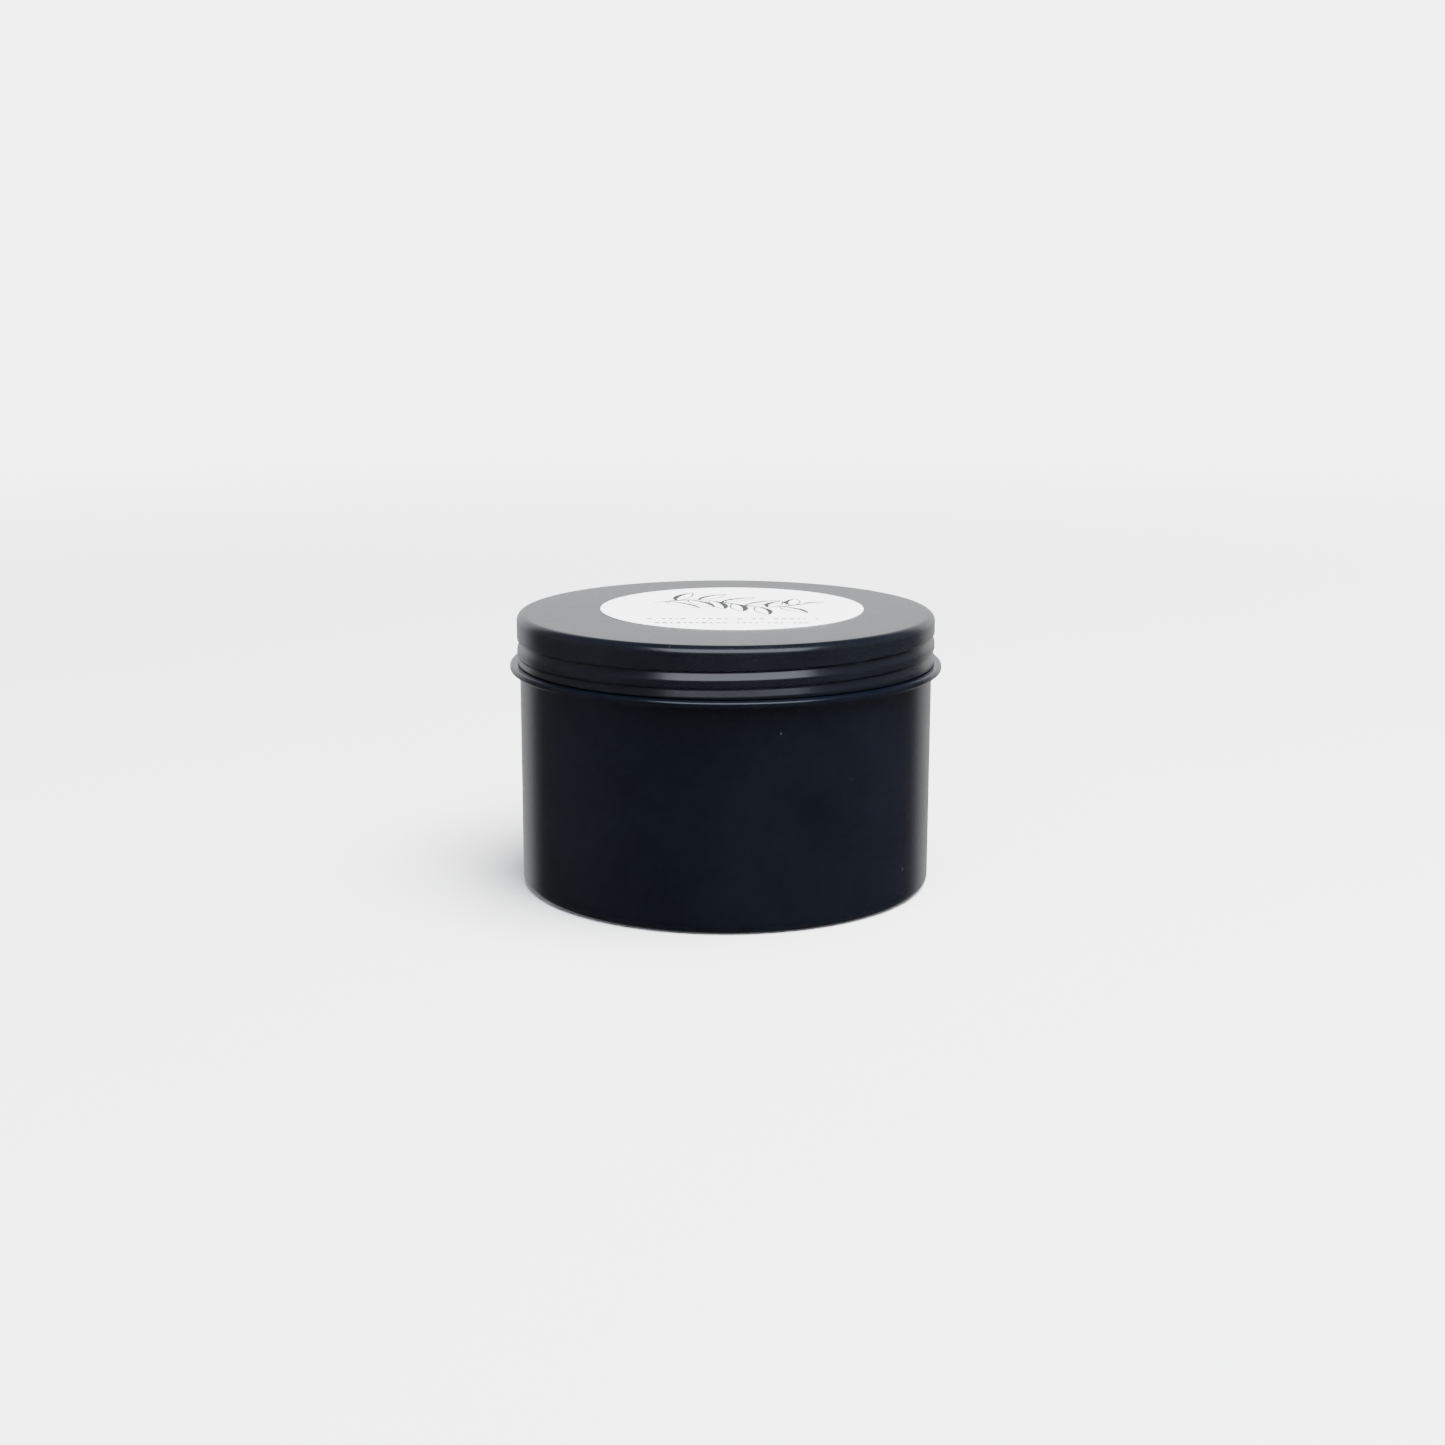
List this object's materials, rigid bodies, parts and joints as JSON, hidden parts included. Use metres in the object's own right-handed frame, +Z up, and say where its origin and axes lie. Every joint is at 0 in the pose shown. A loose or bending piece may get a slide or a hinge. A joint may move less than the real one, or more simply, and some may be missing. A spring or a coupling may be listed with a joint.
{
  "type": "candle tin",
  "caption": "Black screw-top candle tin with a rolled bead, a threaded lid with foam liner, a round paper label, poured wax and a trimmed wick.",
  "frame": {"origin": "centre of the standing ring, on the plane the tin stands on", "axes": "+Z up along the axis of the tin towards the lid, -Y towards the front, +X to the right seen from the front"},
  "size_m": [0.0834, 0.0834, 0.0531],
  "materials": {
    "black_coat": "satin-matte black coating on drawn aluminium",
    "label_paper": "white uncoated sticker paper",
    "liner_foam": "white expanded polyethylene foam",
    "soy_wax": "cream soy wax with a soft sheen",
    "wick_cotton": "braided cotton primed with wax",
    "tab_steel": "bright zinc-plated steel",
    "pad_foam": "white adhesive foam"
  },
  "bodies": {
    "base": {"tin_base": "black_coat", "wax_fill": "soy_wax", "wick": "wick_cotton", "wick_tab": "tab_steel", "wick_pad": "pad_foam", "base_label": "label_paper"},
    "liner": {"lid_liner": "liner_foam"},
    "lid": {"lid_shell": "black_coat", "lid_label": "label_paper"}
  },
  "joints": [
    {"name": "lid_lift", "type": "slide", "parent": "base", "child": "liner", "axis": [0, 0, 1], "range_m": [0, 0.0241]},
    {"name": "lid_turn", "type": "hinge", "parent": "liner", "child": "lid", "pos_m": [0, 0, 0.0526], "axis": [0, 0, 1], "range_deg": [0, 2880]}
  ],
  "couplings": [
    {"joint": "lid_lift", "follows": "lid_turn", "m_per_rad": 0.00047746}
  ]
}
